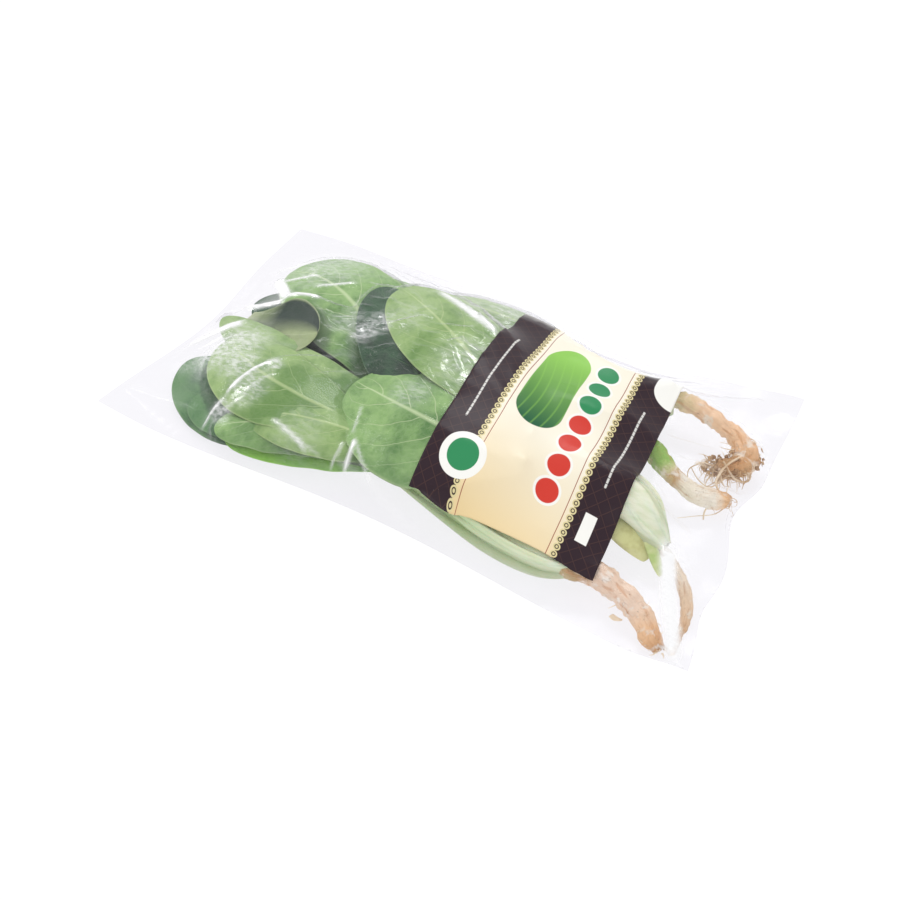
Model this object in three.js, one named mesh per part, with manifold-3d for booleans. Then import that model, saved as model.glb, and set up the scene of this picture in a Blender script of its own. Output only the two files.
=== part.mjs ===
// A clear film bag of whole bok choy plants, lying on its back, with a printed label wrapped over its middle.
// The sealed bag is one solid: a flat film margin all round, and a top that stands over the plants inside it,
// so that the leaf blades, the stalk bundles, the bulbs and the roots show as relief.
// Millimetres, +Z up. X runs along the bag, from the leaf tips (-X) to the roots (+X).
// The origin is the middle of the footprint, on the table.
import * as THREE from "three";
import { mergeVertices } from "three/addons/utils/BufferGeometryUtils.js";
import Module from "manifold-3d";

const wasm = await Module();
wasm.setup();

// Bag.
const bagLength = 391;
const bagHalfWidth = 107.5; // at the sealed ends
const sideWave = 4; // the long edges wander out by this
const sidePull = 15; // and the full middle pulls the far edge in by this
const rimThickness = 1.2; // both film walls, laid flat
const filmGap = 0.6; // from what is inside to the outside of the film
const cellsLong = 64;
const cellsWide = 36;
const drapeRounds = 260;
const drapeRelaxation = 1.7;

// Label.
const labelThickness = 0.8;
const labelGap = 0.35; // between the film and the label
const labelCorners = [
  [27, -91],
  [136, -91],
  [129, 64],
  [20, 67],
];
const labelReach = 90; // height of the prism that cuts the label out of the film's form

// Leaf blades: the midrib runs through from, over and to (its tip), crown is how far the midrib
// stands over the blade's edges, and lean is the rise across the blade towards +Y.
const blades = [
  { from: [72, -46, 40], over: [18, -52, 42], to: [-42, -66, 31], halfWidth: 41, crown: 9, lean: 0.2 },
  { from: [66, -26, 43], over: [2, 2, 47], to: [-62, 40, 37], halfWidth: 34, crown: 6, lean: -0.02 },
  { from: [60, -4, 36], over: [-12, 0, 38], to: [-68, 4, 29], halfWidth: 34, crown: 5, lean: 0 },
  { from: [-30, 10, 32], over: [-86, 22, 36], to: [-146, 34, 15], halfWidth: 45, crown: 8, lean: -0.08 },
  { from: [-60, 46, 14], over: [-105, 50, 18], to: [-152, 54, 8], halfWidth: 30, crown: 5, lean: -0.2 },
  { from: [-26, -42, 35], over: [-82, -34, 40], to: [-142, -34, 19], halfWidth: 41, crown: 9, lean: 0.1 },
  { from: [-70, -64, 20], over: [-112, -66, 21], to: [-160, -66, 7], halfWidth: 36, crown: 6, lean: 0.1 },
  { from: [-14, -78, 17], over: [-50, -78, 24], to: [-92, -76, 18], halfWidth: 25, crown: 6, lean: 0.25 },
  { from: [56, 58, 22], over: [10, 62, 28], to: [-44, 68, 18], halfWidth: 24, crown: 5, lean: -0.3 },
];
const bladeSteps = 24;

// Stalk bundles with their bulbs, from the leaves to the neck, and the roots that go on from them.
// Each point is [x, y, height of the centre line, radius].
const stalks = [
  [[20, 38, 28, 19], [55, 37, 27, 19], [90, 34, 25, 18], [112, 43, 22, 15], [126, 55, 20, 9]],
  [[20, 0, 27, 20], [55, 4, 24, 19], [92, 8, 21, 19], [112, 11, 21, 14], [126, 7, 21, 8]],
  [[25, -36, 24, 19], [70, -38, 21, 18], [116, -42, 20, 18], [138, -48, 19, 16], [154, -54, 15, 9]],
  [[20, -76, 17, 11], [50, -81, 14, 12], [80, -84, 13, 12], [114, -86, 13, 12], [132, -83, 12, 11]],
];
const roots = [
  [[126, 55, 20, 9], [150, 50, 15, 8], [166, 45, 12, 7], [177, 38, 10, 9], [172, 24, 8, 9]],
  [[126, 7, 21, 8], [142, 1, 17, 7], [156, -4, 14, 7], [170, -5, 11, 7], [180, -4, 9, 5]],
  [[154, -54, 15, 9], [164, -62, 11, 6], [174, -69, 8, 5], [182, -80, 7, 5], [184, -98, 5, 4]],
  [[132, -83, 12, 11], [146, -80, 11, 8], [158, -83, 10, 8], [168, -91, 9, 8], [177, -99, 7, 6]],
];

// Curls of the flat film at the two ends.
const leafEndCurl = { start: 145, height: 2, wave: 150, shift: 0.9 };
const rootEndCurl = { start: 158, height: 7, wave: 92, shift: 2.2 };

const halfLength = bagLength / 2;

function smoothStep(low, high, value) {
  const t = Math.min(1, Math.max(0, (value - low) / (high - low)));
  return t * t * (3 - 2 * t);
}

function bump(value, centre, spread) {
  return Math.exp(-(((value - centre) / spread) ** 2));
}

// The bag's two long edges and two sealed ends, seen from above.
function nearEdge(x) {
  return -bagHalfWidth - sideWave * Math.cos((2 * Math.PI * (x - 170)) / 322);
}

function farEdge(x) {
  return bagHalfWidth + sideWave * bump(x, -150, 45) - sidePull * bump(x, 85, 60);
}

function leafEnd(v) {
  return -halfLength + 12 * bump(v, 0.45, 0.27);
}

function rootEnd(v) {
  return halfLength - 5 * bump(v, 0.17, 0.1) - 10 * bump(v, 0.47, 0.12) - 2 * bump(v, 0.72, 0.1);
}

// u runs from the leaf end to the root end and v from the near edge to the far edge.
function footprint(u, v) {
  const x = THREE.MathUtils.lerp(leafEnd(v), rootEnd(v), u);
  const y = THREE.MathUtils.lerp(nearEdge(x), farEdge(x), v);
  return [x, y];
}

// A blade is widest past its middle and round at the tip. t is 0 at the stalk and 1 at the tip.
function bladeHalfWidth(blade, t) {
  return blade.halfWidth * Math.sqrt(Math.sin(Math.PI * t ** 1.35));
}

function throughThree(from, over, to) {
  const handle = from.map((value, i) => 2 * over[i] - (value + to[i]) / 2);
  return new THREE.QuadraticBezierCurve3(
    new THREE.Vector3(...from),
    new THREE.Vector3(...handle),
    new THREE.Vector3(...to),
  );
}

// The nearest place on a line of points, seen from above: its height, radius and the signed offset.
function nearestOn(line, x, y) {
  let best = null;
  for (let i = 0; i + 1 < line.length; i++) {
    const [ax, ay, az, ar] = line[i];
    const [bx, by, bz, br] = line[i + 1];
    const [dx, dy] = [bx - ax, by - ay];
    const t = Math.min(1, Math.max(0, ((x - ax) * dx + (y - ay) * dy) / (dx * dx + dy * dy)));
    const away = Math.hypot(x - ax - t * dx, y - ay - t * dy);
    if (!best || away < best.away) {
      best = { away, height: az + t * (bz - az), radius: ar + t * (br - ar), rise: y - ay - t * dy };
    }
  }
  return best;
}

function bladeLine(blade) {
  return throughThree(blade.from, blade.over, blade.to)
    .getPoints(bladeSteps)
    .map((p, i) => [p.x, p.y, p.z, Math.max(0.5, bladeHalfWidth(blade, i / bladeSteps))]);
}

function bladeTop(blade, line, x, y) {
  const near = nearestOn(line, x, y);
  const share = near.away / near.radius;
  if (share > 1) return -Infinity;
  return near.height - blade.crown * share * share + blade.lean * near.rise;
}

function roundTop(line, x, y) {
  const near = nearestOn(line, x, y);
  const share = near.away / near.radius;
  if (share > 1) return -Infinity;
  return near.height + near.radius * Math.sqrt(1 - share * share);
}

const bladeLines = blades.map(bladeLine);

function contentsTop(x, y) {
  return Math.max(
    ...blades.map((blade, i) => bladeTop(blade, bladeLines[i], x, y)),
    ...[...stalks, ...roots].map((line) => roundTop(line, x, y)),
  );
}

// Where the underside of the film lies: on the table, and curled up a little at the two ends.
function undersideHeight(x, y) {
  const leafCurl = leafEndCurl.height * smoothStep(leafEndCurl.start, halfLength, -x);
  const rootCurl = rootEndCurl.height * smoothStep(rootEndCurl.start, halfLength, x);
  return (
    leafCurl * (0.5 + 0.5 * Math.sin((2 * Math.PI * y) / leafEndCurl.wave + leafEndCurl.shift)) +
    rootCurl * (0.5 + 0.5 * Math.sin((2 * Math.PI * y) / rootEndCurl.wave + rootEndCurl.shift))
  );
}

// The film over the plants: it is stretched from the flat rim over what it touches.
function drapeFilm() {
  const rows = [];
  for (let i = 0; i <= cellsLong; i++) {
    rows.push([]);
    for (let j = 0; j <= cellsWide; j++) {
      const [x, y] = footprint(i / cellsLong, j / cellsWide);
      const under = undersideHeight(x, y);
      const least = Math.max(under + rimThickness, contentsTop(x, y) + filmGap);
      const rim = i === 0 || j === 0 || i === cellsLong || j === cellsWide;
      rows[i].push({ x, y, under, least, top: rim ? under + rimThickness : least, rim });
    }
  }
  for (let round = 0; round < drapeRounds; round++) {
    for (let i = 1; i < cellsLong; i++) {
      for (let j = 1; j < cellsWide; j++) {
        const here = rows[i][j];
        const around = (rows[i - 1][j].top + rows[i + 1][j].top + rows[i][j - 1].top + rows[i][j + 1].top) / 4;
        here.top = Math.max(here.least, here.top + drapeRelaxation * (around - here.top));
      }
    }
  }
  return rows;
}

// A closed slab between two heights over the grid. Its top keeps every cell, and its underside is
// split in the same way (step 1) or into larger blocks (step 2) where little happens below.
function slab(rows, lowOf, highOf, step) {
  const positions = [];
  const low = (i, j) => [rows[i][j].x, rows[i][j].y, lowOf(rows[i][j])];
  const high = (i, j) => [rows[i][j].x, rows[i][j].y, highOf(rows[i][j])];
  const triangle = (a, b, c) => positions.push(...a, ...b, ...c);
  const lastLong = rows.length - 1;
  const lastWide = rows[0].length - 1;
  for (let i = 0; i < lastLong; i++) {
    for (let j = 0; j < lastWide; j++) {
      triangle(high(i, j), high(i + 1, j), high(i + 1, j + 1));
      triangle(high(i, j), high(i + 1, j + 1), high(i, j + 1));
    }
  }
  for (let i = 0; i < lastLong; i += step) {
    for (let j = 0; j < lastWide; j += step) {
      if (step === 1) {
        triangle(low(i, j), low(i + 1, j + 1), low(i + 1, j));
        triangle(low(i, j), low(i, j + 1), low(i + 1, j + 1));
      } else {
        const ring = blockRing(i, j, step, lastLong, lastWide);
        ring.forEach(([a, b], k) => {
          const [c, d] = ring[(k + 1) % ring.length];
          triangle(low(i + step / 2, j + step / 2), low(c, d), low(a, b));
        });
      }
    }
  }
  const wall = (a, b, c, d) => {
    triangle(low(a, b), low(c, d), high(c, d));
    triangle(low(a, b), high(c, d), high(a, b));
  };
  for (let i = 0; i < lastLong; i++) {
    wall(i, 0, i + 1, 0);
    wall(i + 1, lastWide, i, lastWide);
  }
  for (let j = 0; j < lastWide; j++) {
    wall(0, j + 1, 0, j);
    wall(lastLong, j, lastLong, j + 1);
  }
  const made = new THREE.BufferGeometry();
  made.setAttribute("position", new THREE.Float32BufferAttribute(positions, 3));
  return mergeVertices(made);
}

// A block of 2 by 2 cells, counter-clockwise from above. It takes in the middle of a side only
// where that side is the edge of the grid, so that it meets the walls.
function blockRing(i, j, step, lastLong, lastWide) {
  const half = step / 2;
  const ring = [[i, j]];
  if (j === 0) ring.push([i + half, j]);
  ring.push([i + step, j]);
  if (i + step === lastLong) ring.push([i + step, j + half]);
  ring.push([i + step, j + step]);
  if (j + step === lastWide) ring.push([i + half, j + step]);
  ring.push([i, j + step]);
  if (i === 0) ring.push([i, j + half]);
  return ring;
}

function toSolid(geometry) {
  const bare = geometry.clone();
  bare.deleteAttribute("normal");
  bare.deleteAttribute("uv");
  const merged = mergeVertices(bare);
  const mesh = new wasm.Mesh({
    numProp: 3,
    vertProperties: merged.attributes.position.array,
    triVerts: new Uint32Array(merged.index.array),
  });
  return new wasm.Manifold(mesh);
}

function toGeometry(solid) {
  const mesh = solid.getMesh();
  const made = new THREE.BufferGeometry();
  made.setAttribute("position", new THREE.BufferAttribute(mesh.vertProperties, 3));
  made.setIndex(new THREE.BufferAttribute(mesh.triVerts, 1));
  return made;
}

// The label is cut from the film's own form, raised by the gap, with its outline as the knife.
function labelGeometry(rows) {
  const sheet = slab(
    rows,
    (point) => point.top + labelGap,
    (point) => point.top + labelGap + labelThickness,
    1,
  );
  const outline = new THREE.Shape(labelCorners.map(([x, y]) => new THREE.Vector2(x, y)));
  const knife = new THREE.ExtrudeGeometry(outline, { depth: labelReach, bevelEnabled: false });
  return toGeometry(toSolid(sheet).intersect(toSolid(knife)));
}

const film = new THREE.MeshStandardMaterial({
  color: 0x86ac6a,
  roughness: 0.25,
  metalness: 0,
});
const print = new THREE.MeshStandardMaterial({
  color: 0xf1dcae,
  roughness: 0.4,
  metalness: 0,
});

const rows = drapeFilm();
const pack = new THREE.Group();

const bag = new THREE.Mesh(slab(rows, (point) => point.under, (point) => point.top, 2), film);
bag.name = "bag";
pack.add(bag);

const label = new THREE.Mesh(labelGeometry(rows), print);
label.name = "label";
pack.add(label);

export default pack;
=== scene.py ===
import math

import bmesh
import bpy
import numpy as np
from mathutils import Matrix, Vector, noise
from mathutils.bvhtree import BVHTree


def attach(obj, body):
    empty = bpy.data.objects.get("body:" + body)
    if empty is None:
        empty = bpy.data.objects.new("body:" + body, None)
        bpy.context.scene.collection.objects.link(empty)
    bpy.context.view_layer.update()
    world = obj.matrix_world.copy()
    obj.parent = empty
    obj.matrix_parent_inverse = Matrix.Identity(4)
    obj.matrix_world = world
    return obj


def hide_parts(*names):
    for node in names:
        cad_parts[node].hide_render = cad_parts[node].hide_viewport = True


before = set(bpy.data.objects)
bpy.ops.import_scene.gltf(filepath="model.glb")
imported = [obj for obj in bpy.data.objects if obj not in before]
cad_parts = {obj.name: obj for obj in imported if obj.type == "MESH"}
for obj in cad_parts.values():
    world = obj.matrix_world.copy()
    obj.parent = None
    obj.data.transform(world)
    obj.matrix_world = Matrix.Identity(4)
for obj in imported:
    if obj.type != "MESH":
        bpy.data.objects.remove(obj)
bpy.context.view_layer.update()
mm = 0.001  # lengths below are in millimetres
inner = np.s_[1:-1, 1:-1]  # all of a grid but its border


def take(obj):
    bpy.ops.object.select_all(action="DESELECT")
    obj.select_set(True)
    bpy.context.view_layer.objects.active = obj
    return obj


def addModifier(obj, kind, **settings):
    take(obj)
    mod = obj.modifiers.new(kind.lower(), kind)
    for key, value in settings.items():
        setattr(mod, key, value)
    bpy.ops.object.modifier_apply(modifier=mod.name)


def named(name):  # the active object, under its own name
    obj = bpy.context.object
    obj.name = name
    return obj


def joinAll(objects, name):
    take(objects[0])
    for other in objects[1:]:
        other.select_set(True)
    bpy.ops.object.join()
    return named(name)


def editAll():
    bpy.ops.object.mode_set(mode="EDIT")
    bpy.ops.mesh.select_all(action="SELECT")


def settle(obj):  # the place goes into the mesh, the object stays at the origin
    take(obj)
    bpy.ops.object.transform_apply(location=True, rotation=True, scale=True)


def smoothStep(low, high, value):
    t = np.clip((np.asarray(value, float) - low) / (high - low), 0, 1)
    return t * t * (3 - 2 * t)


def bump(value, centre, spread):
    return np.exp(-(((value - centre) / spread) ** 2))


def hexColour(code):  # "#rrggbb" as a linear colour
    parts = [int(code[i:i + 2], 16) / 255 for i in (1, 3, 5)]
    return tuple(c / 12.92 if c <= 0.04045 else ((c + 0.055) / 1.055) ** 2.4 for c in parts) + (1,)


class Wire:
    def __init__(self, socket):
        self.socket = socket
        self.tree = socket.id_data

    def maths(self, operation, *others):
        parts = dict(enumerate((self, *others)))
        return addNode(self.tree, "ShaderNodeMath", {"operation": operation}, parts)

    def __add__(self, other):
        return self.maths("ADD", other)

    __radd__ = __add__

    def __sub__(self, other):
        return self.maths("SUBTRACT", other)

    def __rsub__(self, other):
        return self.maths("MULTIPLY_ADD", -1, other)

    def __mul__(self, other):
        return self.maths("MULTIPLY", other)

    __rmul__ = __mul__

    def __truediv__(self, other):
        return self.maths("DIVIDE", other)

    def __pow__(self, other):
        return self.maths("POWER", other)

    def clamp(self):
        clamped = self.maths("MULTIPLY", 1)
        clamped.socket.node.use_clamp = True
        return clamped


def setInputs(tree, node, inputs):
    for key, value in inputs.items():
        if isinstance(value, Wire):
            tree.links.new(value.socket, node.inputs[key])
        else:
            node.inputs[key].default_value = value


def addNode(tree, kind, settings=None, inputs=None, output=0):
    node = tree.nodes.new(kind)
    for key, value in (settings or {}).items():
        if key == "stops":
            ramp = node.color_ramp
            while len(ramp.elements) < len(value):
                ramp.elements.new(0.5)
            for element, (place, colour) in zip(ramp.elements, value):
                element.position = place
                element.color = colour
        else:
            setattr(node, key, value)
    setInputs(tree, node, inputs or {})
    return Wire(node.outputs[output])


def newMaterial(name):
    stuff = bpy.data.materials.new(name)
    stuff.use_nodes = True
    return stuff, stuff.node_tree, stuff.node_tree.nodes["Principled BSDF"]


def coordinates(tree, kind="Object"):
    return addNode(tree, "ShaderNodeTexCoord", output=kind)


def axesOf(place):
    node = addNode(place.tree, "ShaderNodeSeparateXYZ", inputs={0: place}).socket.node
    return [Wire(socket) for socket in node.outputs]


def layerOf(tree, name):
    return addNode(tree, "ShaderNodeAttribute", {"attribute_name": name}, output=2)


def stretch(place, scale):
    return addNode(place.tree, "ShaderNodeMapping", inputs={"Vector": place, "Scale": scale})


def noiseAt(place, scale, detail=2.0, roughness=0.5, twist=0.0):
    return addNode(place.tree, "ShaderNodeTexNoise", inputs={
        "Vector": place, "Scale": scale, "Detail": detail, "Roughness": roughness, "Distortion": twist})


def mix(share, below, above):  # colours are wires or "#rrggbb"
    below, above = (hexColour(c) if isinstance(c, str) else c for c in (below, above))
    parts = {0: share, 6: below, 7: above}
    return addNode(share.tree, "ShaderNodeMix", {"data_type": "RGBA"}, parts, output=2)


def bumpFrom(height, strength, distance):
    return addNode(height.tree, "ShaderNodeBump", inputs={
        "Height": height, "Strength": strength, "Distance": distance})


print("scene: frame loaded")


camera = {
    "place": (201.7, -349.7, 400.0),
    "aim": (20.25, -35.83, 0.0),
    "roll": math.radians(-0.64),
    "lens": 35.72,
    "sensor": 36,
}


def setCamera():
    bpy.ops.object.camera_add(location=Vector(camera["place"]) * mm)
    cam = bpy.context.object
    look = Vector(camera["aim"]) - Vector(camera["place"])
    cam.rotation_euler = look.to_track_quat("-Z", "Y").to_euler()
    cam.rotation_euler.rotate_axis("Z", camera["roll"])
    cam.data.lens = camera["lens"]
    cam.data.sensor_width = camera["sensor"]
    cam.data.clip_start = 0.01
    bpy.context.scene.camera = cam


studio = {
    "worldStrength": 0.93,
    "floorSize": 4000,
    "floorDrop": 0.4,  # below the part's underside
    "floorColour": "#5e5e5f",
    "floorGlow": 0.93,  # the table is lit from below too
    "suns": [  # name, where it stands, how wide it looks in degrees, strength
        ("sunBack", (-260, 620, 760), 22, 0.60),
        ("sunLeft", (-780, -60, 620), 14, 0.18),
        ("sunFront", (420, -720, 900), 40, 0.14),
    ],
}


def setStudio():
    scene = bpy.context.scene
    scene.view_settings.view_transform = "Standard"
    world = bpy.data.worlds.new("studio")
    scene.world = world
    world.use_nodes = True
    sky = world.node_tree.nodes["Background"]
    sky.inputs["Color"].default_value = (1, 1, 1, 1)
    sky.inputs["Strength"].default_value = studio["worldStrength"]
    for name, place, angle, strength in studio["suns"]:
        bpy.ops.object.light_add(type="SUN", location=Vector(place) * mm)
        lamp = named(name)
        lamp.data.angle = math.radians(angle)
        lamp.data.energy = strength
        lamp.rotation_euler = (-Vector(place)).to_track_quat("-Z", "Y").to_euler()
    bpy.ops.mesh.primitive_plane_add(size=studio["floorSize"] * mm,
                                     location=(0, 0, -studio["floorDrop"] * mm))
    floor = named("floor")
    settle(floor)
    stuff, tree, shader = newMaterial("paleFloor")
    setInputs(tree, shader, {"Base Color": hexColour(studio["floorColour"]), "Roughness": 0.9,
                             "Specular IOR Level": 0.1, "Emission Color": (1, 1, 1, 1),
                             "Emission Strength": studio["floorGlow"]})
    floor.data.materials.append(stuff)


setCamera()
setStudio()
print("scene: camera and studio")


leafShape = {"columns": 44, "rows": 21, "thick": 0.5, "tipEase": 1.8, "widest": 0.56, "neck": 5.0,
             "veinPairs": 6.0, "veinSweep": 0.42, "veinDepth": 0.45, "puff": 0.45}
# start, over and tip are on the midrib, crown is how far it stands over the blade's edges, lean is
# the rise across the blade towards its right, ripple waves the rim. A wider neck than the usual one
# comes last.
leafKeys = ("start", "over", "tip", "halfWidth", "crown", "lean", "ripple", "seed", "plant", "look", "neck")
leaves = {
    "leafNear": ((78, -58, 38), (24, -57, 44), (-40, -42, 34), 39, 10, 0.17, 0.7, 1, 3, "fresh"),
    "leafFar": ((72, -40, 40), (6, 4, 48), (-62, 45, 36), 32, 6, -0.02, 0.8, 2, 2, "pale"),
    "leafMiddle": ((30, -56, 34), (-22, -12, 40), (-76, 42, 34), 27, 5, 0.0, 0.8, 3, 2, "deep"),
    "leafTop": ((-10, -42, 16), (-82, 20, 31), (-158, 50, 12), 39, 6, 0.05, 1.1, 4, 2, "fresh"),
    "leafOuter": ((20, 40, 18), (-50, 50, 24), (-128, 60, 14), 24, 5, -0.15, 1.4, 5, 1, "fresh"),
    "leafBig": ((-4, -62, 24), (-84, -65, 34), (-140, -37, 22), 28, 7, 0.14, 1.2, 6, 3, "pale"),
    "leafStrip": ((0, -50, 27), (-84, -43, 29), (-165, -18, 16), 16, 3, 0.20, 0.8, 18, 3, "folded", 10),
    "leafCurl": ((-158, -11, 8), (-124, -19, 19), (-86, -17, 34), 25, -6, -0.26, 0.8, 7, 0, "dull", 12),
    # leafUnder's dark deep green stands in for painted shade in the hollow beyond the curled leaf's far rim
    "leafUnder": ((20, 10, 18), (-80, 14, 16), (-163, 12, 8), 30, 4, 0.0, 1.5, 8, 2, "deep"),
    "leafEnd": ((-30, -68, 8), (-106, -75, 12), (-162, -52, 8), 29, 6, 0.06, 1.2, 9, 4, "mid"),
    "leafEndInner": ((-30, -66, 10), (-98, -78, 16), (-138, -76, 9), 23, 6, 0.08, 1.0, 10, 4, "mid"),
    "leafSecond": ((24, -66, 16), (-36, -76, 31), (-88, -86, 23), 19, 6, 0.20, 1.0, 11, 4, "pale"),
    "leafLow": ((0, -76, 14), (-62, -86, 24), (-104, -101, 16), 15, 4, 0.22, 1.0, 12, 4, "fresh"),
    "leafFloor": ((24, -56, 9), (-34, -77, 14), (-95, -103, 12), 16, 3, 0.1, 0.8, 13, 4, "bright"),
    "leafCorner": ((60, 56, 24), (8, 58, 31), (-48, 66, 20), 23, 6, -0.25, 1.0, 14, 1, "pale"),
    "leafBeneath": ((60, 20, 7), (-30, 16, 8), (-120, -6, 5), 40, 3, 0.0, 1.4, 15, 2, "fresh"),
    "leafBelow": ((30, -40, 6), (-50, -52, 8), (-135, -56, 5), 34, 3, 0.0, 1.2, 16, 3, "pale"),
    "leafBack": ((66, 62, 8), (0, 68, 9), (-78, 72, 5), 24, 3, -0.1, 1.2, 17, 1, "deep"),
}
leaves = {name: dict(zip(leafKeys, row)) for name, row in leaves.items()}


def halfWidthAt(leaf, t):
    # spreads from the stalk to the widest place, then closes in a round tip
    widest = leafShape["widest"]
    neck = leaf.get("neck", leafShape["neck"])
    if t < widest:
        share = math.sin(math.pi / 2 * max(t, 0.0) / widest) ** 1.3
        return neck + (leaf["halfWidth"] - neck) * share
    return leaf["halfWidth"] * math.sqrt(max(1 - ((t - widest) / (1 - widest)) ** 2.05, 1e-6))


def midribAt(leaf, t):
    start, over, tip = (Vector(leaf[key]) for key in ("start", "over", "tip"))
    handle = 2 * over - (start + tip) / 2
    return (1 - t) ** 2 * start + 2 * t * (1 - t) * handle + t * t * tip


def layOutColumns(obj, leaf):
    # each column of the grid is spread to the blade's width there, turned and taken to the midrib
    columns = leafShape["columns"]
    bpy.ops.object.mode_set(mode="EDIT")
    bm = bmesh.from_edit_mesh(obj.data)
    byColumn = [[] for _ in range(columns + 1)]
    for vert in bm.verts:
        byColumn[round((vert.co.x + 0.5) * columns)].append(vert)
    for k, column in enumerate(byColumn):
        t = 1 - (1 - k / columns) ** leafShape["tipEase"]
        here = midribAt(leaf, t)
        ahead = midribAt(leaf, t + 0.01) - midribAt(leaf, t - 0.01)
        heading = math.atan2(ahead.y, ahead.x)
        bpy.ops.mesh.select_all(action="DESELECT")
        for vert in column:
            vert.select = True
        bm.select_flush_mode()
        width = 2 * halfWidthAt(leaf, t) * mm
        rest = Vector((k / columns - 0.5, 0, 0))
        bpy.ops.transform.resize(value=(1, width, 1))
        bpy.ops.transform.rotate(value=-heading, orient_axis="Z", center_override=rest)
        bpy.ops.transform.translate(value=here * mm - rest)
    bpy.ops.object.mode_set(mode="OBJECT")


def meshPoints(obj):
    points = np.empty(len(obj.data.vertices) * 3)
    obj.data.vertices.foreach_get("co", points)
    return points.reshape(-1, 3)


def setMeshPoints(obj, points):
    obj.data.vertices.foreach_set("co", points.ravel())
    obj.data.update()


def setLayer(obj, name, values):
    obj.data.attributes.new(name, "FLOAT", "POINT").data.foreach_set("value", values)


def rollingNoise(points, scale, seed):  # smooth noise between about -1 and 1
    shift = Vector((seed * 17.3, seed * 5.1, seed * 9.7))
    return np.array([noise.noise(Vector(p) / (scale * mm) + shift) for p in points])


def makeBlade(name, leaf):
    bpy.ops.object.select_all(action="DESELECT")
    bpy.ops.mesh.primitive_grid_add(x_subdivisions=leafShape["columns"],
                                    y_subdivisions=leafShape["rows"] - 1, size=1)
    obj = named(name)
    flat = meshPoints(obj)
    t = 1 - (1 - (flat[:, 0] + 0.5)) ** leafShape["tipEase"]
    side = -flat[:, 1] * 2  # +1 is the right edge
    layOutColumns(obj, leaf)
    points = meshPoints(obj)
    width = np.array([halfWidthAt(leaf, v) for v in t])
    across = np.abs(side)
    out = side * width  # millimetres to the right of the midrib
    share = np.abs(out) / leaf["halfWidth"]
    # the blade falls or rises from its midrib, leans, and its rim waves
    lift = -leaf["crown"] * share ** 2 + leaf["lean"] * out
    lift = lift + leaf["ripple"] * share ** 2 * across * rollingNoise(points, 16, leaf["seed"]) * 1.8
    lift = lift + leafShape["puff"] * rollingNoise(points, 11, leaf["seed"] + 40)
    # the side veins are shallow furrows, the blade puffs between them
    beat = (t - leafShape["veinSweep"] * across ** 1.3) * leafShape["veinPairs"] + 0.5 * (side > 0)
    furrow = bump(np.abs((beat % 1) - 0.5), 0, 0.10)
    lift = lift - (leafShape["veinDepth"] * furrow * smoothStep(0, 0.15, across)
                   * smoothStep(0, 0.1, 1 - across))
    lift = lift + 0.9 * bump(out, 0, 1.2 + 2.6 * (1 - t)) * (1 - t) ** 0.5
    points[:, 2] += lift * mm
    setMeshPoints(obj, points)
    addModifier(obj, "SOLIDIFY", thickness=leafShape["thick"] * mm, offset=0)
    addModifier(obj, "SUBSURF", levels=1, render_levels=1)
    bpy.ops.object.shade_smooth()
    return obj


blades = {name: makeBlade(name, leaf) for name, leaf in leaves.items()}
print("scene: leaf blades", len(blades))


# One plant each: middle is the bundle's own line from under the blades to the bulb, as x, y, z and
# the bundle's radius. The petioles stand round it, turn says where the first one sits.
plants = {
    1: dict(middle=[(20, 40, 20, 17), (55, 38, 19, 17), (90, 34, 18, 17), (110, 42, 17, 14),
                    (124, 52, 18, 9)], petioles=6, turn=0.3),
    2: dict(middle=[(20, 0, 24, 18), (55, 3, 23, 18), (92, 8, 21, 18), (112, 10, 20, 13),
                    (127, 7, 19, 8)], petioles=6, turn=0.0),
    3: dict(middle=[(20, -40, 22, 18), (70, -38, 21, 18), (112, -38, 20, 18), (134, -39, 18, 17),
                    (150, -46, 15, 11), (160, -51, 13, 4)], petioles=7, turn=0.5),
    4: dict(middle=[(20, -72, 14, 12), (50, -79, 14, 13), (80, -84, 13, 13), (102, -86, 13, 12),
                    (114, -86, 12, 9.5), (124, -85, 12, 5)], petioles=5, turn=0.2),
}
stalkShape = {"sides": 14, "thick": 3.4, "rings": 36, "wide": 1.25, "hollow": 0.55}


def routeAt(route, t):  # a smooth line through the route's points
    place = t * (len(route) - 1)
    k = min(int(place), len(route) - 2)
    f = place - k
    before, a, b, after = (np.array(route[min(max(i, 0), len(route) - 1)], float)
                           for i in (k - 1, k, k + 1, k + 2))
    return 0.5 * (2 * a + (b - before) * f + (2 * before - 5 * a + 4 * b - after) * f ** 2
                  + (3 * a - before - 3 * b + after) * f ** 3)


def frameAt(route, t):  # the place there, its heading, and the ways right of it and up
    spot = routeAt(route, t)
    ahead = routeAt(route, min(t + 0.02, 1))[:3] - routeAt(route, max(t - 0.02, 0))[:3]
    ahead = ahead / np.linalg.norm(ahead)
    right = np.cross(ahead, (0, 0, 1))
    right = right / np.linalg.norm(right)
    return spot, ahead, right, np.cross(right, ahead)


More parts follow.
